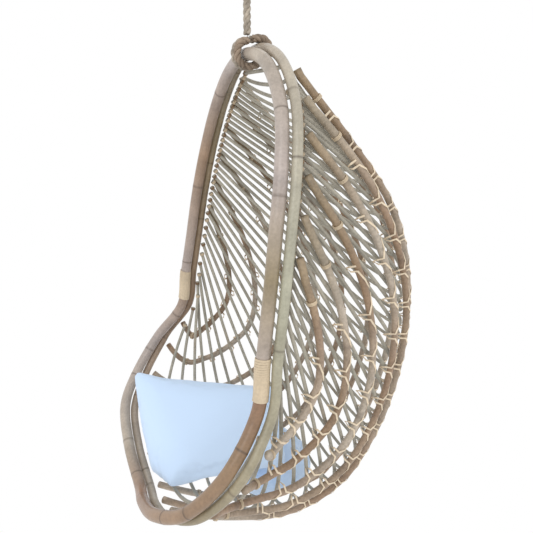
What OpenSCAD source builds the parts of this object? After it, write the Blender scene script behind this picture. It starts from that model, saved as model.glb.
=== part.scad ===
// Hanging egg chair: a rattan basket on a rim of bent poles, hung from a swivel hook by one rope.
// +X is the sitter's left-to-right axis, the opening faces -Y and the load line is the Z axis.
// The origin is the middle of the ceiling plate's top face.

/* [Hang] */
// Height of the ceiling above the level the basket's heights are measured from
hang_drop = 1480; // [1470:1:1800]
// Diameter of the rope
rope_d = 18; // [14:0.5:18]

/* [Rim] */
// Diameter of the front rim pole
front_pole_d = 30; // [24:0.5:31]
// Diameter of the rear rim pole
rear_pole_d = 23; // [16:0.5:23]
// How far the rear pole sits behind the front pole
rear_back = 27.5; // [27.5:0.5:32]
// How far the rear pole sits outside the front pole
rear_out = 13; // [13:0.5:15]
// Length of the cane binding over each joint of the front pole
binding_l = 96; // [60:1:120]
// Thickness of the cane binding
binding_t = 2.3; // [1.5:0.1:2.3]

/* [Basket] */
// Diameter of the thin inner rods
rod_d = 9.6; // [7:0.1:10]
// Diameter of the outer hoops
hoop_d = 18; // [12:0.5:19]
// Number of inner rods
rod_count = 40; // [40]
// Gap between a rod and the hoop outside it
weave_gap = 3.5; // [3.5:0.1:5]

/* [Hardware] */
// Diameter of the ceiling plate
plate_d = 84; // [76:1:110]
// Thickness of the ceiling plate
plate_t = 4; // [3:0.5:8]
// Pitch circle of the ceiling screws
screw_pcd = 60; // [56:1:66]
// Diameter of each screw hole
screw_hole_d = 5.5; // [5:0.1:6]
// Thickness of the hook's steel rod
hook_rod_d = 11; // [8:0.5:12]
// Thickness of the steel ring
ring_rod_d = 10; // [8:0.5:12]

/* [Cushions] */
// Thickness of the scatter cushion at its middle
scatter_t = 84; // [60:2:90]
// Thickness of the seat cushion
seat_t = 110; // [90:2:112]

/* [Hidden] */
ROD_GROUPS = [for (i = [1:rod_count / 2]) str("rod_pair_", i < 10 ? "0" : "", i)];
HOOP_SIDE = ["right", "left"];
HOOP_NODES = concat(["hoop_centre"], [for (s = HOOP_SIDE) for (j = [1:6]) str("hoop_", s, "_", j)]);

// Half of the front rim pole from the top centre to the bottom centre, about 125 mm apart,
// as [half width, y, height].
rim_points = [
    [0, 0, 1154], [124, -2, 1125], [219, -12, 1040], [270, -32, 924], [295, -54, 799],
    [310, -73, 673], [323, -93, 546], [333, -110, 432], [360, -188, 325], [325, -266, 230],
    [240, -317, 172], [120, -327, 112], [0, -320, 68]
];
// Middle line of the basket's inner rods from the top of the back to the front of the floor,
// about 176 mm apart, as [y, height].
spine_points = [
    [22, 1140], [140, 1010], [262, 886], [370, 755], [426, 595], [440, 426],
    [411, 256], [346, 97], [239, -33], [79, -74], [-90, -26], [-240, 70]
];
rim_end = len(rim_points) - 1;
spine_end = len(spine_points) - 1;
// Places along rim_points and spine_points where the first and the last rod lie
rim_fan = [1.0, 7.35];
spine_fan = [0.15, 11];
// Each hoop: its angle round the basket, the share of the rods above its upper end,
// and the place along rim_points where its lower end lands.
hoop_specs = [
    [90, 0, 12], [18, 0.7, 7.45], [28, 0.587, 8.05], [39, 0.466, 8.8], [50, 0.328, 9.6],
    [61, 0.199, 10.4], [75, 0.07, 11.2]
];
joint_at = 6.35;
joint_gap = 0.012;
clear = 0.5;
rod_offset_back = rear_back + rear_pole_d / 2 + clear;
rod_offset_out = -4;
hoop_lift = (rod_d + hoop_d) / 2 + weave_gap;
hoop_back = rear_back + (rear_pole_d + hoop_d) / 2 + 3;

function unit(v) = v / norm(v);
function mix(a, b, t) = a + (b - a) * t;
function catmull(a, b, c, d, t) =
    0.5 * (2 * b + (c - a) * t + (2 * a - 5 * b + 4 * c - d) * t * t + (3 * b - a - 3 * c + d) * t * t * t);
function flip(p) = [-p.x, p.y, p.z];

// Point on the right half of the front rim pole
function half_rim(u) =
    let (p = rim_points, n = rim_end, k = min(floor(u), n - 1))
    let (before = k == 0 ? flip(p[1]) : p[k - 1], after = k == n - 1 ? flip(p[n - 1]) : p[k + 2])
    catmull(before, p[k], p[k + 1], after, u - k);
// Point on the whole front rim pole: u is negative on the left half and may run past either end
function rim(u) =
    let (a = abs(u), inner = a > rim_end ? 2 * rim_end - a : a, p = half_rim(inner))
    (u < 0) != (a > rim_end) ? flip(p) : p;
function rim_along(u) = unit(rim(u + 0.02) - rim(u - 0.02));
function rim_back(u) = let (t = rim_along(u)) unit([0, 1, 0] - t.y * t);
function beside_rim(u, back, out) =
    let (b = rim_back(u), o = cross(rim_along(u), b)) rim(u) + back * b + out * o;

// Point on the middle line of the rods
function spine(s) =
    let (p = spine_points, n = spine_end, k = min(floor(s), n - 1))
    let (before = k == 0 ? 2 * p[0] - p[1] : p[k - 1])
    let (after = k == n - 1 ? 2 * p[n] - p[n - 1] : p[k + 2])
    let (q = catmull(before, p[k], p[k + 1], after, s - k))
    [0, q.x, q.y];

// Where rod share f starts on the rim and crosses the middle line: the rods spread out lower down
function rim_place(f) = mix(rim_fan[0], rim_fan[1], mix(f, pow(f, 6), 0.3));
function spine_place(f) = mix(spine_fan[0], spine_fan[1], mix(f, pow(f, 4), 0.15));

// Point on the basket: f runs from the first rod (0) to the last (1), and angle along a rod from
// its right end (0) to its left end (180).
function basket(f, angle) =
    let (edge = beside_rim(rim_place(f), rod_offset_back, rod_offset_out))
    let (middle = spine(spine_place(f)), foot = [0, edge.y, edge.z])
    [edge.x * cos(angle), 0, 0] + foot + (middle - foot) * sin(angle);
function basket_out(f, angle) =
    unit(cross(basket(min(f + 0.004, 1), angle) - basket(max(f - 0.004, 0), angle),
               basket(f, angle + 0.5) - basket(f, angle - 0.5)));

// Angle of a hoop round the basket where it crosses rod position f: side hoops start at the rim
function hoop_angle(spec, f) =
    spec[0] == 90 ? 90 : spec[0] * sin(90 * pow(min(1, max(0, f - spec[1]) * 130 / spec[0]), 0.8));
function hoop_point(spec, f) =
    let (angle = hoop_angle(spec, f)) basket(f, angle) + hoop_lift * basket_out(f, max(angle, 1));
function hoop_landing(u) = beside_rim(u, hoop_back, rod_offset_out + hoop_lift);
hoop_steps = 24;
hoop_last = 0.935;
// The part of a hoop that crosses the rods: the centre hoop starts below the rope's knot
function hoop_body(spec) =
    let (centre = spec[0] == 90, first = centre ? 0.045 : spec[1] + 0.012)
    concat(
        centre ? [] : [hoop_landing(rim_place(spec[1]))],
        [for (k = [0:hoop_steps])
            hoop_point(spec, mix(first, hoop_last, pow(k / hoop_steps, centre ? 1 : 1.2)))]
    );
// The whole hoop, bent round to the rim at its lower end
function hoop_path(spec) =
    let (body = hoop_body(spec), n = len(body), a = body[n - 1], end = hoop_landing(spec[2]))
    let (turn = a + unit(a - body[n - 2]) * norm(end - a) * 0.45)
    concat(body, [for (t = [0.2:0.2:1]) mix(mix(a, turn, t), mix(turn, end, t), t)]);

rod_steps = 14;
// Every second rod is tucked inside its neighbour where the rods bunch up at the rim
function tuck(i, f) = 1 - 0.062 * (i % 2) * max(0, (f - 0.8) / 0.2);
function rod_path(i) =
    let (f = i / (rod_count - 1), narrow = tuck(i, f))
    [for (k = [0:rod_steps]) let (p = basket(f, 180 * k / rod_steps)) [p.x * narrow, p.y, p.z]];
function rod_side(i) =
    let (f = i / (rod_count - 1)) cross([1, 0, 0], unit(basket(f, 90) - basket(f, 0)));

// Rings of points round a path, with the first side turned to face along ref
function tube_rings(path, r, ref, sides) =
    let (n = len(path))
    [for (k = [0:n - 1])
        let (t = unit(path[min(k + 1, n - 1)] - path[max(k - 1, 0)]))
        let (a = unit(cross(t, ref)), b = cross(a, t))
        for (j = [0:sides - 1]) path[k] + r * (cos(360 * j / sides) * a + sin(360 * j / sides) * b)];
function wall_faces(sides, rings, first) =
    [for (k = [0:rings - 2]) for (j = [0:sides - 1])
        let (a = first + k * sides + j, b = first + k * sides + (j + 1) % sides)
        each [[a, b, b + sides], [a, b + sides, a + sides]]];
function flipped(faces) = [for (f = faces) [f[2], f[1], f[0]]];

// Solid round bar that follows a path
module bar(path, d, ref, sides = 8) {
    rings = len(path);
    start = [for (j = [0:sides - 1]) sides - 1 - j];
    finish = [for (j = [0:sides - 1]) (rings - 1) * sides + j];
    polyhedron(tube_rings(path, d / 2, ref, sides), concat(wall_faces(sides, rings, 0), [start, finish]));
}

// Round sleeve that follows a path
module sleeve(path, d_out, d_in, ref, sides = 10) {
    rings = len(path);
    inner = rings * sides;
    last = (rings - 1) * sides;
    points = concat(tube_rings(path, d_out / 2, ref, sides), tube_rings(path, d_in / 2, ref, sides));
    ends = [for (j = [0:sides - 1])
        let (n = (j + 1) % sides)
        each [[n, j, inner + j], [n, inner + j, inner + n],
              [last + j, last + n, inner + last + n], [last + j, inner + last + n, inner + last + j]]];
    polyhedron(points, concat(wall_faces(sides, rings, 0), flipped(wall_faces(sides, rings, inner)), ends));
}

module hung() {
    translate([0, 0, -hang_drop]) children();
}

// ---- Rim ----
pole_sides = 10;
rim_ref = [0, 1, 0];
function rim_run(from, to, steps) = [for (k = [0:steps]) rim(mix(from, to, k / steps))];
function rear_run(steps) =
    [for (k = [0:steps]) beside_rim(mix(-rim_end + 0.02, rim_end - 0.02, k / steps), rear_back, rear_out)];

module rim_upper_pole() {
    color("#c9b79a")
        hung() bar(rim_run(-joint_at, joint_at, 36), front_pole_d, rim_ref, pole_sides);
}

module rim_lower_pole() {
    color("#a98466")
        hung() bar(rim_run(joint_at + joint_gap, 2 * rim_end - joint_at - joint_gap, 36), front_pole_d, rim_ref, pole_sides);
}

module rim_rear_pole() {
    color("#b8b39c")
        hung() bar(rear_run(64), rear_pole_d, rim_ref, 8);
}

module binding(side) {
    half = binding_l / 2 / 120;
    path = [for (k = [0:3]) rim(side * mix(joint_at - half, joint_at + half, k / 3))];
    color("#e6d9bf")
        hung() sleeve(path, front_pole_d + 2 * (clear + binding_t), front_pole_d + 2 * clear, rim_ref);
}

// ---- Basket ----
module hoop(spec, side) {
    path = hoop_path(spec);
    color("#ab8a6b")
        hung() bar(side > 0 ? path : [for (p = path) flip(p)], hoop_d, [1, 0, 0], 8);
}

module rod(i) {
    color("#c4bda9")
        hung() bar(rod_path(i), rod_d, rod_side(i), 6);
}

// ---- Rope ----
eye_gap = 0.4;
hook_bottom = -72;
ring_r = 26;
hook_r = 16;
ring_top = hook_bottom + (hook_rod_d + ring_rod_d) / 2 + eye_gap;
ring_bottom = ring_top - 2 * ring_r;
eye_r = (rope_d + ring_rod_d) / 2 + eye_gap;
seizing_top = -160;
seizing_bottom = -192;
knot_top = 1196 - hang_drop;
tail_x = rope_d + 1;
// Route of the eye: up from the standing rope, over the ring and down beside it, as [x, z]
eye_route = concat(
    [[0, seizing_bottom], [0, -160], [-5, -146], [-12, -130]],
    [for (a = [180:-20:0]) [eye_r * cos(a), ring_bottom + eye_r * sin(a)]],
    [[16, -132], [tail_x - 0.5, -147], [tail_x, -160], [tail_x, seizing_bottom - 4]]
);
// Route of the knot round the two rim poles, seen along X, as [y, height above the rim's lowest point]
knot_route = [
    [0, 1182], [-14, 1180], [-24, 1170], [-28, 1156], [-25, 1141], [-14, 1130], [2, 1127],
    [18, 1131], [34, 1139], [46, 1150], [51, 1164], [47, 1178], [36, 1187], [20, 1188], [10, 1186]
];

module rope() {
    color("#b9b0a0")
        translate([0, 0, knot_top]) cylinder(h = seizing_bottom - knot_top, d = rope_d, $fn = 32);
}

module rope_eye() {
    color("#b9b0a0")
        bar([for (p = eye_route) [p.x, 0, p.y]], rope_d, [0, 1, 0], 12);
}

module rope_seizing() {
    wall = 2;
    hole_d = rope_d + 2 * clear;
    color("#d8cdb4")
        translate([0, 0, seizing_bottom + 1])
        linear_extrude(seizing_top - seizing_bottom - 2)
        difference() {
            union() {
                circle(d = hole_d + 2 * wall, $fn = 48);
                translate([0, -hole_d / 2 - wall]) square([tail_x, hole_d + 2 * wall]);
                translate([tail_x, 0]) circle(d = hole_d + 2 * wall, $fn = 48);
            }
            circle(d = hole_d, $fn = 48);
            translate([0, -hole_d / 2 + 4]) square([tail_x, hole_d - 8]);
            translate([tail_x, 0]) circle(d = hole_d, $fn = 48);
        }
}

// Two turns of rope round both poles, with a turn round the standing rope above them
module rope_knot() {
    color("#a89c88")
        hung() for (x = [-1, 1]) translate([x * (rope_d / 2 + clear), 0, 0])
            bar([for (p = knot_route) [0, p.x, p.y]], rope_d, [1, 0, 0], 8);
}

// ---- Hardware ----
housing_d = 32;
housing_h = 26;
shank_gap = 0.06;

module ceiling_plate() {
    color("silver")
        translate([0, 0, -plate_t])
        linear_extrude(plate_t)
        difference() {
            circle(d = plate_d, $fn = 96);
            for (a = [45:90:315]) rotate(a) translate([screw_pcd / 2, 0]) circle(d = screw_hole_d, $fn = 32);
        }
}

module swivel_housing() {
    floor_t = 4;
    cavity_d = 22;
    color("silver")
        translate([0, 0, -plate_t - housing_h])
        difference() {
            cylinder(h = housing_h, d = housing_d, $fn = 64);
            translate([0, 0, floor_t]) cylinder(h = housing_h - 2 * floor_t, d = cavity_d, $fn = 64);
            translate([0, 0, -1]) cylinder(h = floor_t + 2, d = hook_rod_d + 2 * shank_gap, $fn = 64);
        }
}

module swivel_hook() {
    centre = hook_bottom + hook_r;
    flange_z = -plate_t - housing_h + 4.3;
    neck_z = centre + hook_r + 6;
    route = concat(
        [[0, flange_z - 0.05], [0, mix(flange_z, neck_z, 0.5)], [0, neck_z]],
        [for (a = [70:-15:-200]) [hook_r * cos(a), centre + hook_r * sin(a)]]
    );
    color("silver") {
        bar([for (p = route) [p.x, 0, p.y]], hook_rod_d, [0, 1, 0], 12);
        translate([0, 0, flange_z]) cylinder(h = 5, d = 19, $fn = 32);
    }
}

module hanging_ring() {
    color("silver")
        translate([0, 0, ring_top - ring_r]) rotate([0, 90, 0])
        rotate_extrude($fn = 96) translate([ring_r, 0]) circle(d = ring_rod_d, $fn = 32);
}

// ---- Cushions ----
seat_bottom = -30;
// Layers of the seat cushion as [height share, half width, half depth, y]
seat_layers = [[0, 50, 50, 68], [0.33, 118, 102, 54], [0.6, 150, 124, 46], [1, 182, 144, 40]];

// A flat pad pressed into the hollow of the basket
module seat_cushion() {
    slice = 2;
    color("#e6eef8")
        hung() hull() for (p = seat_layers)
            translate([0, p[3], seat_bottom + p[0] * (seat_t - slice)])
            scale([p[1], p[2], 1]) cylinder(h = slice, r = 1, $fn = 48);
}

// Edge of the scatter cushion's middle surface. Its lower edge bulges where it is squeezed into
// the basket behind the bottom of the rim.
scatter_edge = [
    [-258, -281, 258], [-182, -285, 192], [-95, -286, 143], [-5, -284, 100], [100, -258, 128],
    [160, 40, 140], [28, 70, 293]
];

module scatter_cushion() {
    e = scatter_edge;
    middle = [-40, -160, 195];
    face = unit(cross(e[6] - e[0], e[3] - e[0]));
    corner_r = 15;
    puff = 0.5;
    color("#eaf2fc")
        hung() hull() {
            for (p = e) translate(p) sphere(r = corner_r, $fn = 16);
            for (p = e) for (side = [-1, 1])
                translate(mix(middle, p, puff) + side * (scatter_t / 2 - corner_r) * face)
                sphere(r = corner_r, $fn = 12);
        }
}

ceiling_plate();
swivel_housing();
swivel_hook();
hanging_ring();
rope();
rope_eye();
rope_seizing();
rope_knot();
rim_upper_pole();
rim_lower_pole();
rim_rear_pole();
binding(1);  // binding_right
binding(-1);  // binding_left
hoop(hoop_specs[0], 1);  // hoop_centre
for (j = [1:6]) {
    hoop(hoop_specs[j], 1);
    hoop(hoop_specs[j], -1);
}
for (i = [0:len(ROD_GROUPS) - 1]) {
    union() {
        rod(2 * i);
        rod(2 * i + 1);
    }
}
seat_cushion();
scatter_cushion();
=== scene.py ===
from math import ceil, cos, floor, pi, radians, sin

import bpy
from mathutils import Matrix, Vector


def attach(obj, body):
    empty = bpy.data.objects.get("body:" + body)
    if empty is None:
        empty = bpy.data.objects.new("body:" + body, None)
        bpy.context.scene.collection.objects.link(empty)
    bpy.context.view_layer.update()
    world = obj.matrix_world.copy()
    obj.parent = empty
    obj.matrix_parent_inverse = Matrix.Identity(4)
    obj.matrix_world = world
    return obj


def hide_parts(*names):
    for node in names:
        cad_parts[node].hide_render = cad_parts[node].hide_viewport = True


# The curves below are the ones of the CAD source, in millimetres above the basket's own level.
HANG_DROP = 1480
RIM = [(0, 0, 1154), (124, -2, 1125), (219, -12, 1040), (270, -32, 924), (295, -54, 799),
       (310, -73, 673), (323, -93, 546), (333, -110, 432), (360, -188, 325), (325, -266, 230),
       (240, -317, 172), (120, -327, 112), (0, -320, 68)]
SPINE = [(22, 1140), (140, 1010), (262, 886), (370, 755), (426, 595), (440, 426),
         (411, 256), (346, 97), (239, -33), (79, -74), (-90, -26), (-240, 70)]
# Hoop angle, share of the rods above its upper end, place of its lower end on the rim
HOOPS = [(90, 0, 12), (18, 0.7, 7.45), (28, 0.587, 8.05), (39, 0.466, 8.8), (50, 0.328, 9.6),
         (61, 0.199, 10.4), (75, 0.07, 11.2)]
RIM_FAN = (1.0, 7.35)
SPINE_FAN = (0.15, 11)
FRONT_D, REAR_D, ROD_D, HOOP_D, ROPE_D = 30, 23, 9.6, 18, 18
REAR_BACK, REAR_OUT = 27.5, 13
ROD_COUNT = 40
JOINT_AT = 6.35
HOOP_LAST = 0.935
ROD_BACK = REAR_BACK + REAR_D / 2 + 0.5
ROD_OUT = -4
HOOP_LIFT = (ROD_D + HOOP_D) / 2 + 3.5
HOOP_BACK = REAR_BACK + (REAR_D + HOOP_D) / 2 + 3
LAST = len(RIM) - 1


def mix(a, b, t):
    return a + (b - a) * t


def catmull(a, b, c, d, t):
    return 0.5 * (2 * b + (c - a) * t + (2 * a - 5 * b + 4 * c - d) * t * t
                  + (3 * b - a - 3 * c + d) * t * t * t)


def flip(p):
    return Vector((-p[0], p[1], p[2]))


def half_rim(u):
    k = min(floor(u), LAST - 1)
    before = flip(RIM[1]) if k == 0 else Vector(RIM[k - 1])
    after = flip(RIM[LAST - 1]) if k == LAST - 1 else Vector(RIM[k + 2])
    return catmull(before, Vector(RIM[k]), Vector(RIM[k + 1]), after, u - k)


def rim(u):
    a = abs(u)
    p = half_rim(2 * LAST - a if a > LAST else a)
    return flip(p) if (u < 0) != (a > LAST) else p


def beside_rim(u, back, out):
    t = (rim(u + 0.02) - rim(u - 0.02)).normalized()
    b = (Vector((0, 1, 0)) - t.y * t).normalized()
    return rim(u) + back * b + out * t.cross(b)


def spine(s):
    pts = [Vector((0, y, z)) for y, z in SPINE]
    n = len(pts) - 1
    k = min(floor(s), n - 1)
    before = 2 * pts[0] - pts[1] if k == 0 else pts[k - 1]
    after = 2 * pts[n] - pts[n - 1] if k == n - 1 else pts[k + 2]
    return catmull(before, pts[k], pts[k + 1], after, s - k)


def rim_place(f):
    return mix(*RIM_FAN, mix(f, f ** 6, 0.3))


def spine_place(f):
    return mix(*SPINE_FAN, mix(f, f ** 4, 0.15))


def basket(f, angle):
    edge = beside_rim(rim_place(f), ROD_BACK, ROD_OUT)
    foot = Vector((0, edge.y, edge.z))
    a = radians(angle)
    return Vector((edge.x * cos(a), 0, 0)) + foot + (spine(spine_place(f)) - foot) * sin(a)


def basket_out(f, angle):
    down = basket(min(f + 0.004, 1), angle) - basket(max(f - 0.004, 0), angle)
    across = basket(f, angle + 0.5) - basket(f, angle - 0.5)
    return down.cross(across).normalized()


def hoop_angle(spec, f):
    if spec[0] == 90:
        return 90
    return spec[0] * sin(pi / 2 * min(1, max(0, f - spec[1]) * 130 / spec[0]) ** 0.8)


def hoop_point(spec, f):
    a = hoop_angle(spec, f)
    return basket(f, a) + HOOP_LIFT * basket_out(f, max(a, 1))


def hoop_landing(u):
    return beside_rim(u, HOOP_BACK, ROD_OUT + HOOP_LIFT)


def hoop_path(spec, steps=48):
    centre = spec[0] == 90
    first = 0.045 if centre else spec[1] + 0.012
    path = [] if centre else [hoop_landing(rim_place(spec[1]))]
    for k in range(steps + 1):
        path.append(hoop_point(spec, mix(first, HOOP_LAST, (k / steps) ** (1 if centre else 1.2))))
    end = hoop_landing(spec[2])
    turn = path[-1] + (path[-1] - path[-2]).normalized() * (end - path[-1]).length * 0.45
    start = path[-1]
    for k in range(1, 9):
        t = k / 8
        path.append(mix(mix(start, turn, t), mix(turn, end, t), t))
    return path


def rod_path(i, steps=28):
    f = i / (ROD_COUNT - 1)
    narrow = 1 - 0.062 * (i % 2) * max(0, (f - 0.8) / 0.2)
    points = [basket(f, 180 * k / steps) for k in range(steps + 1)]
    return [Vector((p.x * narrow, p.y, p.z)) for p in points]


def place(p):
    """A point in metres in the row frame."""
    return Vector((p[0], p[1], p[2] - HANG_DROP)) / 1000


# ---- Mesh makers ----
def wave(x, seed):
    """A smooth, repeatable wobble between about -1 and 1."""
    return 0.5 * sin(1.7 * x + seed * 2.1) + 0.3 * sin(3.9 * x + seed * 5.3) + 0.2 * sin(9.1 * x + seed)


class Builder:
    """Collects tubes and strips in one mesh, with a colour at every vertex."""

    def __init__(self):
        self.verts, self.faces, self.colours = [], [], []

    def tube(self, path, radius, sides=10, colour=(0.5, 0.5, 0.5)):
        """radius and colour may be functions of the share and the length in mm along the path."""
        n = len(path)
        first = len(self.verts)
        normal = None
        run = 0
        for k, p in enumerate(path):
            t = (path[min(k + 1, n - 1)] - path[max(k - 1, 0)]).normalized()
            if normal is None:
                side = Vector((1, 0, 0)) if abs(t.x) < 0.8 else Vector((0, 0, 1))
                normal = t.cross(side).normalized()
            normal = (normal - normal.dot(t) * t).normalized()
            other = t.cross(normal)
            run += (p - path[k - 1]).length if k else 0
            share = k / (n - 1)
            r = radius(share, run) if callable(radius) else radius
            c = colour(share, run) if callable(colour) else colour
            for j in range(sides):
                a = 2 * pi * j / sides
                self.verts.append(place(p + r * (cos(a) * normal + sin(a) * other)))
                self.colours.append(c)
        for k in range(n - 1):
            for j in range(sides):
                a, b = first + k * sides + j, first + k * sides + (j + 1) % sides
                self.faces.append((a, b, b + sides, a + sides))
        self.faces.append(tuple(first + j for j in reversed(range(sides))))
        self.faces.append(tuple(first + (n - 1) * sides + j for j in range(sides)))

    def strip(self, path, outs, width, thick, colour):
        """A flat strip along path that lies across the directions in outs."""
        n = len(path)
        first = len(self.verts)
        for k, p in enumerate(path):
            t = (path[min(k + 1, n - 1)] - path[max(k - 1, 0)]).normalized()
            out = (outs[k] - outs[k].dot(t) * t).normalized()
            side = t.cross(out)
            for a, b in ((-1, -1), (1, -1), (1, 1), (-1, 1)):
                self.verts.append(place(p + a * side * width / 2 + b * out * thick / 2))
                self.colours.append(colour)
        for k in range(n - 1):
            for j in range(4):
                a, b = first + k * 4 + j, first + k * 4 + (j + 1) % 4
                self.faces.append((a, b, b + 4, a + 4))
        self.faces.append((first + 3, first + 2, first + 1, first))
        self.faces.append(tuple(first + (n - 1) * 4 + j for j in range(4)))

    def ring(self, centre, along, radius, wire, colour, turns=1, pitch=2.2):
        """Turns of a round strand about a pole."""
        t = along.normalized()
        ref = Vector((1, 0, 0)) if abs(t.x) < 0.8 else Vector((0, 0, 1))
        a = t.cross(ref).normalized()
        b = t.cross(a)
        steps = ceil(18 * turns)
        path = [centre + radius * (cos(2 * pi * k / 18) * a + sin(2 * pi * k / 18) * b)
                + t * pitch * (k / 18 - turns / 2) for k in range(steps + 1)]
        self.tube(path, wire, 6, colour)

    def object(self, name, material, smooth=True):
        mesh = bpy.data.meshes.new(name)
        mesh.from_pydata(self.verts, [], self.faces)
        colour = mesh.color_attributes.new("tone", "FLOAT_COLOR", "POINT")
        for k, c in enumerate(self.colours):
            colour.data[k].color = (*c, 1)
        for face in mesh.polygons:
            face.use_smooth = smooth
        mesh.materials.append(material)
        obj = bpy.data.objects.new(name, mesh)
        bpy.context.scene.collection.objects.link(obj)
        return obj


# ---- Materials ----
def cane_material(name, roughness, streak, bump, coat=0.0):
    """Takes its colour from the mesh and adds fine streaks and blotches."""
    mat = bpy.data.materials.new(name)
    mat.use_nodes = True
    nodes, links = mat.node_tree.nodes, mat.node_tree.links
    shader = nodes["Principled BSDF"]
    tone = nodes.new("ShaderNodeAttribute")
    tone.attribute_name = "tone"
    coords = nodes.new("ShaderNodeTexCoord")
    fine = nodes.new("ShaderNodeTexNoise")
    fine.inputs["Scale"].default_value = 160
    fine.inputs["Detail"].default_value = 6
    broad = nodes.new("ShaderNodeTexNoise")
    broad.inputs["Scale"].default_value = 18
    broad.inputs["Detail"].default_value = 3
    links.new(coords.outputs["Object"], fine.inputs["Vector"])
    links.new(coords.outputs["Object"], broad.inputs["Vector"])
    total = nodes.new("ShaderNodeMath")
    total.operation = "ADD"
    links.new(fine.outputs["Fac"], total.inputs[0])
    links.new(broad.outputs["Fac"], total.inputs[1])
    level = nodes.new("ShaderNodeMapRange")
    level.inputs["From Min"].default_value = 0.7
    level.inputs["From Max"].default_value = 1.3
    level.inputs["To Min"].default_value = 1 - streak
    level.inputs["To Max"].default_value = 1 + streak
    links.new(total.outputs[0], level.inputs["Value"])
    scaled = nodes.new("ShaderNodeVectorMath")
    scaled.operation = "SCALE"
    links.new(tone.outputs["Color"], scaled.inputs[0])
    links.new(level.outputs["Result"], scaled.inputs["Scale"])
    links.new(scaled.outputs["Vector"], shader.inputs["Base Color"])
    relief = nodes.new("ShaderNodeBump")
    relief.inputs["Strength"].default_value = bump
    relief.inputs["Distance"].default_value = 0.001
    links.new(fine.outputs["Fac"], relief.inputs["Height"])
    links.new(relief.outputs["Normal"], shader.inputs["Normal"])
    shader.inputs["Roughness"].default_value = roughness
    shader.inputs["Coat Weight"].default_value = coat
    return mat


def cloth_material():
    mat = bpy.data.materials.new("cushion_cloth")
    mat.use_nodes = True
    nodes, links = mat.node_tree.nodes, mat.node_tree.links
    shader = nodes["Principled BSDF"]
    shader.inputs["Base Color"].default_value = (0.60, 0.76, 0.98, 1)
    shader.inputs["Roughness"].default_value = 0.9
    shader.inputs["Sheen Weight"].default_value = 0.2
    coords = nodes.new("ShaderNodeTexCoord")
    weave = nodes.new("ShaderNodeTexNoise")
    weave.inputs["Scale"].default_value = 700
    links.new(coords.outputs["Object"], weave.inputs["Vector"])
    relief = nodes.new("ShaderNodeBump")
    relief.inputs["Strength"].default_value = 0.15
    relief.inputs["Distance"].default_value = 0.0006
    links.new(weave.outputs["Fac"], relief.inputs["Height"])
    links.new(relief.outputs["Normal"], shader.inputs["Normal"])
    return mat


def steel_material(name, shade):
    mat = bpy.data.materials.new(name)
    mat.use_nodes = True
    shader = mat.node_tree.nodes["Principled BSDF"]
    shader.inputs["Base Color"].default_value = (shade, shade, shade * 1.02, 1)
    shader.inputs["Metallic"].default_value = 1
    shader.inputs["Roughness"].default_value = 0.32
    return mat


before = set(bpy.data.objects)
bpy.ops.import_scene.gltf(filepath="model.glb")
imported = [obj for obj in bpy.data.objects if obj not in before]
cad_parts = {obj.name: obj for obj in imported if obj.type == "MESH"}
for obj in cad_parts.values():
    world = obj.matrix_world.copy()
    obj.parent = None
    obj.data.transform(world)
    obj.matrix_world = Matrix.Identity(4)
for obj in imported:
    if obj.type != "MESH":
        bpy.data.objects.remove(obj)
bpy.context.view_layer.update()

# ---- Camera ----
camera_data = bpy.data.cameras.new("camera")
camera_data.lens = 35.14
camera_data.sensor_width = 36
camera = bpy.data.objects.new("camera", camera_data)
camera.location = (1.2055, -0.4463, -0.4432)
camera.rotation_euler = (radians(90 - 16.99), 0, radians(67.73))
bpy.context.scene.collection.objects.link(camera)
bpy.context.scene.camera = camera

pole_cane = cane_material("pole_cane", 0.42, 0.16, 0.15, 0.25)
hoop_cane = cane_material("hoop_cane", 0.5, 0.28, 0.3, 0.1)
rod_cane = cane_material("rod_cane", 0.6, 0.2, 0.3)
split_cane = cane_material("split_cane", 0.55, 0.14, 0.2)
rope_fibre = cane_material("rope_fibre", 0.85, 0.35, 0.8)
cloth = cloth_material()
steel = steel_material("zinc_steel", 0.62)
for node in ("ceiling_plate", "swivel_housing", "swivel_hook", "hanging_ring"):
    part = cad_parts[node]
    part.data.materials.clear()
    part.data.materials.append(steel)

CREAM = (0.58, 0.47, 0.33)
LACE = (0.74, 0.62, 0.46)
PALE = (0.42, 0.36, 0.29)
LILAC = (0.40, 0.34, 0.31)
GREY_GREEN = (0.38, 0.37, 0.28)
OLIVE = (0.28, 0.22, 0.13)
TAN = (0.30, 0.20, 0.13)
RED_BROWN = (0.27, 0.15, 0.09)
BROWN = (0.25, 0.16, 0.09)
DARK = (0.07, 0.045, 0.03)


def blend_colour(stops, x):
    """Colour at x from a list of (x, colour)."""
    for (x0, c0), (x1, c1) in zip(stops[:-1], stops[1:]):
        if x <= x1:
            t = max(0, min(1, (x - x0) / (x1 - x0)))
            return tuple(mix(a, b, t) for a, b in zip(c0, c1))
    return stops[-1][1]


def node_band(run, gap, seed, width=3.5):
    """1 on a cane node, 0 between nodes: the nodes are about gap mm apart."""
    k = round(run / gap)
    at = gap * (k + 0.28 * sin(k * 2.3 + seed))
    return max(0, 1 - abs(run - at) / width)


def pole(name, path, d, stops, gap, seed, nodes_shade=DARK):
    """A bent pole with slight swellings and dark lines at its nodes."""
    def radius(share, run):
        return d / 2 * (0.975 + 0.012 * wave(run / 90, seed) + 0.03 * node_band(run, gap, seed, 8))

    def colour(share, run):
        base = blend_colour(stops, share)
        lift = 1 + 0.10 * wave(run / 60, seed)
        dark = 0.75 * node_band(run, gap, seed)
        return tuple(mix(c * lift, n, dark) for c, n in zip(base, nodes_shade))

    build = Builder()
    build.tube(path, radius, 20, colour)
    piece = build.object(name, pole_cane)
    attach(piece, "chair")
    return piece


def rim_run(start, end, steps):
    return [rim(mix(start, end, k / steps)) for k in range(steps + 1)]


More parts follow.
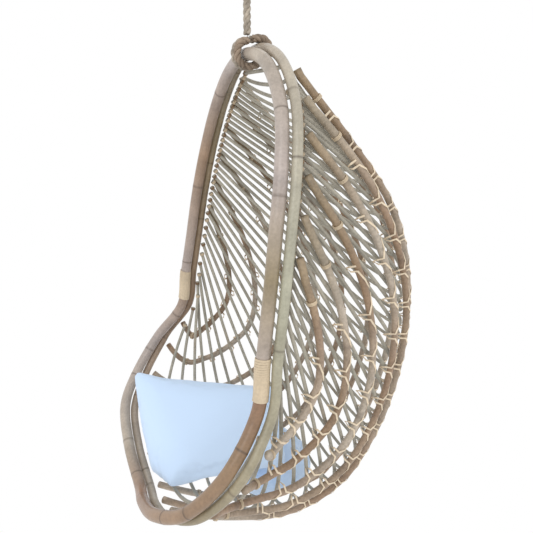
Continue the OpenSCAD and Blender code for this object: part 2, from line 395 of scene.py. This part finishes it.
upper_stops = [(0, LILAC), (0.25, TAN), (0.45, LILAC), (0.55, PALE), (0.75, LILAC), (0.87, OLIVE), (1, LILAC)]
upper = pole("front_pole_upper", rim_run(-JOINT_AT, JOINT_AT, 500), FRONT_D, upper_stops, 330, 1)
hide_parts("rim_upper_pole")
lower_stops = [(0, RED_BROWN), (0.12, BROWN), (0.3, TAN), (0.45, RED_BROWN), (0.6, PALE), (0.85, LILAC), (1, TAN)]
lower_path = rim_run(JOINT_AT + 0.012, 2 * LAST - JOINT_AT - 0.012, 420)
lower = pole("front_pole_lower", lower_path, FRONT_D, lower_stops, 150, 4)
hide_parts("rim_lower_pole")
rear_path = [beside_rim(mix(-LAST + 0.02, LAST - 0.02, k / 700), REAR_BACK, REAR_OUT) for k in range(701)]
rear_stops = [(0, PALE), (0.2, TAN), (0.4, OLIVE), (0.52, PALE), (0.7, GREY_GREEN), (0.9, OLIVE), (1, PALE)]
rear = pole("rear_pole", rear_path, REAR_D, rear_stops, 290, 7)
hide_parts("rim_rear_pole")

# Cane bindings: a flat strip wound round the joint of the front pole
for side, name in ((1, "right"), (-1, "left")):
    build = Builder()
    turns = 19
    steps = turns * 20
    half = 48 / 120
    path, outs = [], []
    for k in range(steps + 1):
        u = side * mix(JOINT_AT - half, JOINT_AT + half, k / steps)
        t = (rim(u + 0.02) - rim(u - 0.02)).normalized()
        b = (Vector((0, 1, 0)) - t.y * t).normalized()
        a = 2 * pi * k / 20
        out = cos(a) * b + sin(a) * t.cross(b)
        path.append(rim(u) + (FRONT_D / 2 + 1.3) * out)
        outs.append(out)
    build.strip(path, outs, 4.7, 1.3, CREAM)
    wrap = build.object("binding_wrap_" + name, split_cane, smooth=False)
    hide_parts("binding_" + name)
    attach(wrap, "chair")

# ---- Inner rods ----
for pair in range(ROD_COUNT // 2):
    build = Builder()
    for i in (2 * pair, 2 * pair + 1):
        shade = 1 + 0.14 * wave(i * 1.9, 3)

        def rod_colour(share, run, i=i, shade=shade):
            spot = 1 + 0.10 * wave(run / 45, i)
            dark = 0.5 * node_band(run, 260, i, 2)
            return tuple(mix(c * shade * spot, d, dark) for c, d in zip((0.36, 0.335, 0.275), BROWN))

        build.tube(rod_path(i), ROD_D / 2 * 0.97, 10, rod_colour)
    piece = build.object("rods_%02d" % (pair + 1), rod_cane)
    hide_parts("rod_pair_%02d" % (pair + 1))
    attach(piece, "chair")

# ---- Outer hoops and their lashings ----
LACE_GAP = 1.3


def lashing(spec, build, flipped):
    """One flat strip that zigzags over the hoop and hooks round every rod."""
    path, outs = [], []
    turn = 1
    for i in range(1, ROD_COUNT - 2):
        f = i / (ROD_COUNT - 1)
        if f < spec[1] + 0.06 or f > HOOP_LAST:
            continue
        here = hoop_point(spec, f)
        t = (hoop_point(spec, min(f + 0.01, 0.99)) - hoop_point(spec, f - 0.01)).normalized()
        out = basket_out(f, max(hoop_angle(spec, f), 1))
        side = t.cross(out) * turn
        reach = HOOP_D / 2 + LACE_GAP
        inner = HOOP_LIFT + ROD_D / 2 + LACE_GAP
        path += [here + side * reach * 0.8 + out * reach * 0.6 - t * 7,
                 here + side * (reach + 5) - out * HOOP_LIFT * 0.45 - t * 6.5,
                 here + side * (reach + 5) - out * inner,
                 here + side * (reach + 5) - out * HOOP_LIFT * 0.45 + t * 6.5,
                 here + side * reach * 0.8 + out * reach * 0.6 + t * 7]
        outs += [side + out, side, -out, side, side + out]
        f_next = f + 0.5 / (ROD_COUNT - 1)
        out_next = basket_out(f_next, max(hoop_angle(spec, f_next), 1))
        path.append(hoop_point(spec, f_next) + out_next * reach)
        outs.append(out_next)
        turn = -turn
    path, outs = path[:-1], outs[:-1]
    if flipped:
        path = [flip(p) for p in path]
        outs = [flip(o) for o in outs]
    build.strip(path, outs, 4.6, 1.0, LACE)


def end_laces(path, build):
    """Ring lashings: where the zigzag starts and where the hoop meets the rear pole."""
    for k in (5, len(path) - 6):
        build.ring(path[k], path[k + 1] - path[k - 1], HOOP_D / 2 + 1.2, 1.3, CREAM, 3, 2.6)


for index, spec in enumerate(HOOPS):
    for side, name in ((1, "right"), (-1, "left")):
        if index == 0 and side < 0:
            continue
        seed = index * 2 + side
        path = hoop_path(spec)
        if side < 0:
            path = [flip(p) for p in path]

        def hoop_radius(share, run, seed=seed):
            lump = 0.035 * wave(run / 40, seed) + 0.05 * node_band(run, 170, seed, 7)
            return HOOP_D / 2 * (0.95 + lump)

        def hoop_colour(share, run, seed=seed):
            mood = 0.5 + 0.5 * sin(run / 130 + seed * 1.3)
            base = [mix(a, b, mood) for a, b in zip(TAN, PALE)]
            base = [mix(a, b, 0.65 * max(0, sin(run / 210 + seed))) for a, b in zip(base, BROWN)]
            bare = max(0, 1 - share / 0.2)
            base = [mix(a, b, 0.6 * bare) for a, b in zip(base, OLIVE)]
            dark = 0.6 * node_band(run, 170, seed)
            return tuple(mix(c, d, dark) for c, d in zip(base, DARK))

        build = Builder()
        build.tube(path, hoop_radius, 14, hoop_colour)
        label = "centre" if index == 0 else "%s_%d" % (name, index)
        piece = build.object("outer_hoop_" + label, hoop_cane)
        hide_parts("hoop_" + label)
        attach(piece, "chair")
        laces = Builder()
        lashing(spec, laces, side < 0)
        end_laces(path, laces)
        piece = laces.object("lashing_" + label, split_cane, smooth=False)
        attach(piece, "chair")

# Each rod end is lashed behind the rear pole
for side, name in ((1, "right"), (-1, "left")):
    build = Builder()
    for i in range(ROD_COUNT):
        path = rod_path(i)
        if side < 0:
            path = [flip(p) for p in path]
        along = path[1] - path[0]
        colour = CREAM if i % 2 else BROWN
        build.ring(path[0] + 5 * along.normalized(), along, ROD_D / 2 + 1, 1.2, colour, 3, 2.4)
    piece = build.object("rod_ties_" + name, split_cane)
    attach(piece, "chair")

# ---- Rope ----
ROPE_TONE = (0.36, 0.31, 0.25)
KNOT_TONE = (0.25, 0.19, 0.14)
KNOT_TOP = 1196
EYE_R = (ROPE_D + 10) / 2 + 0.4
RING_BOTTOM = -72 + 10.9 - 52 + HANG_DROP
SEIZING_TOP, SEIZING_BOTTOM = -160 + HANG_DROP, -192 + HANG_DROP


def twisted(build, path, d, pitch, tone, strands=3):
    """Strands laid round each other along a path."""
    dense = []
    for a, b in zip(path[:-1], path[1:]):
        n = max(1, ceil((b - a).length / 2.2))
        dense += [a.lerp(b, k / n) for k in range(n)]
    dense.append(path[-1])
    last = len(dense) - 1
    normals = []
    normal = None
    for k in range(last + 1):
        t = (dense[min(k + 1, last)] - dense[max(k - 1, 0)]).normalized()
        if normal is None:
            normal = t.cross(Vector((1, 0, 0)) if abs(t.x) < 0.8 else Vector((0, 1, 0))).normalized()
        normal = (normal - normal.dot(t) * t).normalized()
        normals.append((normal.copy(), t.cross(normal)))
    for s in range(strands):
        run = 0
        route = []
        for k, p in enumerate(dense):
            run += (p - dense[k - 1]).length if k else 0
            a = 2 * pi * (run / pitch + s / strands)
            n1, n2 = normals[k]
            route.append(p + d * 0.25 * (cos(a) * n1 + sin(a) * n2))
        shade = tuple(c * (1 + 0.12 * (s - 1)) for c in tone)
        build.tube(route, d * 0.25, 9, shade)


rope_build = Builder()
rope_line = [Vector((0, 0, SEIZING_BOTTOM)), Vector((0, 0, KNOT_TOP))]
twisted(rope_build, rope_line, ROPE_D, 44, ROPE_TONE)
rope = rope_build.object("standing_rope", rope_fibre)
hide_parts("rope")
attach(rope, "chair")

eye_points = [(0, SEIZING_BOTTOM), (0, HANG_DROP - 160), (-5, HANG_DROP - 146), (-12, HANG_DROP - 130)]
eye_points += [(EYE_R * cos(radians(a)), RING_BOTTOM + EYE_R * sin(radians(a))) for a in range(180, -1, -20)]
eye_points += [(16, HANG_DROP - 132), (18.5, HANG_DROP - 147), (19, HANG_DROP - 160), (19, SEIZING_BOTTOM - 4)]
eye_build = Builder()
twisted(eye_build, [Vector((x, 0, z)) for x, z in eye_points], ROPE_D, 44, ROPE_TONE)
eye = eye_build.object("rope_eye_loop", rope_fibre)
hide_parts("rope_eye")
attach(eye, "chair")

seizing_build = Builder()
wraps = 11
outline = []
for k in range(wraps * 24 + 1):
    a = 2 * pi * k / 24
    z = mix(SEIZING_BOTTOM + 2.5, SEIZING_TOP - 2.5, k / (wraps * 24))
    centre = 9.5 + 9.5 * max(-1, min(1, 1.6 * cos(a)))
    outline.append(Vector((centre + 10.6 * cos(a), 10.6 * sin(a), z)))
seizing_build.tube(outline, 1.35, 6, CREAM)
seizing = seizing_build.object("seizing_twine", split_cane)
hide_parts("rope_seizing")
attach(seizing, "chair")

KNOT = [(0, 1182), (-14, 1180), (-24, 1170), (-28, 1156), (-25, 1141), (-14, 1130), (2, 1127),
        (18, 1131), (34, 1139), (46, 1150), (51, 1164), (47, 1178), (36, 1187), (20, 1188), (10, 1186)]
knot_build = Builder()
for x in (-1, 1):
    points = [Vector((x * (ROPE_D / 2 + 0.5), y, z)) for y, z in KNOT]
    smooth = []
    for k in range(len(points) - 1):
        before = points[max(k - 1, 0)]
        after = points[min(k + 2, len(points) - 1)]
        smooth += [catmull(before, points[k], points[k + 1], after, t / 4) for t in range(4)]
    twisted(knot_build, smooth + [points[-1]], ROPE_D, 40, KNOT_TONE if x > 0 else ROPE_TONE)
knot = knot_build.object("rim_knot", rope_fibre)
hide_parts("rope_knot")
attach(knot, "chair")


# ---- Cushions ----
def cushion(node, name, body, shrink):
    """Inflates a remeshed copy of the plain solid like a stuffed cover."""
    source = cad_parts[node]
    mesh = source.data.copy()
    obj = bpy.data.objects.new(name, mesh)
    bpy.context.scene.collection.objects.link(obj)
    mesh.materials.clear()
    mesh.materials.append(cloth)
    centre = sum((v.co for v in mesh.vertices), Vector()) / len(mesh.vertices)
    for v in mesh.vertices:
        v.co = centre + (v.co - centre) * shrink
    remesh = obj.modifiers.new("remesh", "REMESH")
    remesh.mode = "VOXEL"
    remesh.voxel_size = 0.008
    smooth = obj.modifiers.new("smooth", "SMOOTH")
    smooth.iterations = 12
    bpy.context.view_layer.objects.active = obj
    obj.select_set(True)
    for modifier in ("remesh", "smooth"):
        bpy.ops.object.modifier_apply(modifier=modifier)
    before = [v.co.copy() for v in obj.data.vertices]
    sim = obj.modifiers.new("cloth", "CLOTH")
    sim.settings.use_pressure = True
    sim.settings.uniform_pressure_force = 4
    sim.settings.effector_weights.gravity = 0
    for step in range(1, 16):
        bpy.context.scene.frame_set(step)
    bpy.ops.object.modifier_apply(modifier="cloth")
    bpy.context.scene.frame_set(1)
    for v, p in zip(obj.data.vertices, before):
        move = v.co - p
        if move.length > 0.009:
            v.co = p + move * (0.009 / move.length)
    for face in obj.data.polygons:
        face.use_smooth = True
    obj.select_set(False)
    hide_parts(node)
    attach(obj, body)
    return obj


cushion("seat_cushion", "seat_pad_cover", "seat_pad", 0.96)
cushion("scatter_cushion", "scatter_pad_cover", "scatter_pad", 0.96)


# ---- Light ----
def area_light(name, location, target, size, power, colour=(1, 1, 1)):
    data = bpy.data.lights.new(name, "AREA")
    data.size = size
    data.energy = power
    data.color = colour
    obj = bpy.data.objects.new(name, data)
    obj.location = location
    obj.rotation_euler = (Vector(target) - Vector(location)).to_track_quat("-Z", "Y").to_euler()
    bpy.context.scene.collection.objects.link(obj)


MIDDLE = (0, 0.05, -0.95)
area_light("key", (1.6, -1.6, 0.6), MIDDLE, 1.6, 14)
area_light("fill", (1.9, 1.4, -0.4), MIDDLE, 2.0, 5)
world = bpy.data.worlds.new("studio")
world.use_nodes = True
world.node_tree.nodes["Background"].inputs["Color"].default_value = (1, 1, 1, 1)
world.node_tree.nodes["Background"].inputs["Strength"].default_value = 1.0
bpy.context.scene.world = world
bpy.context.scene.view_settings.view_transform = "Standard"
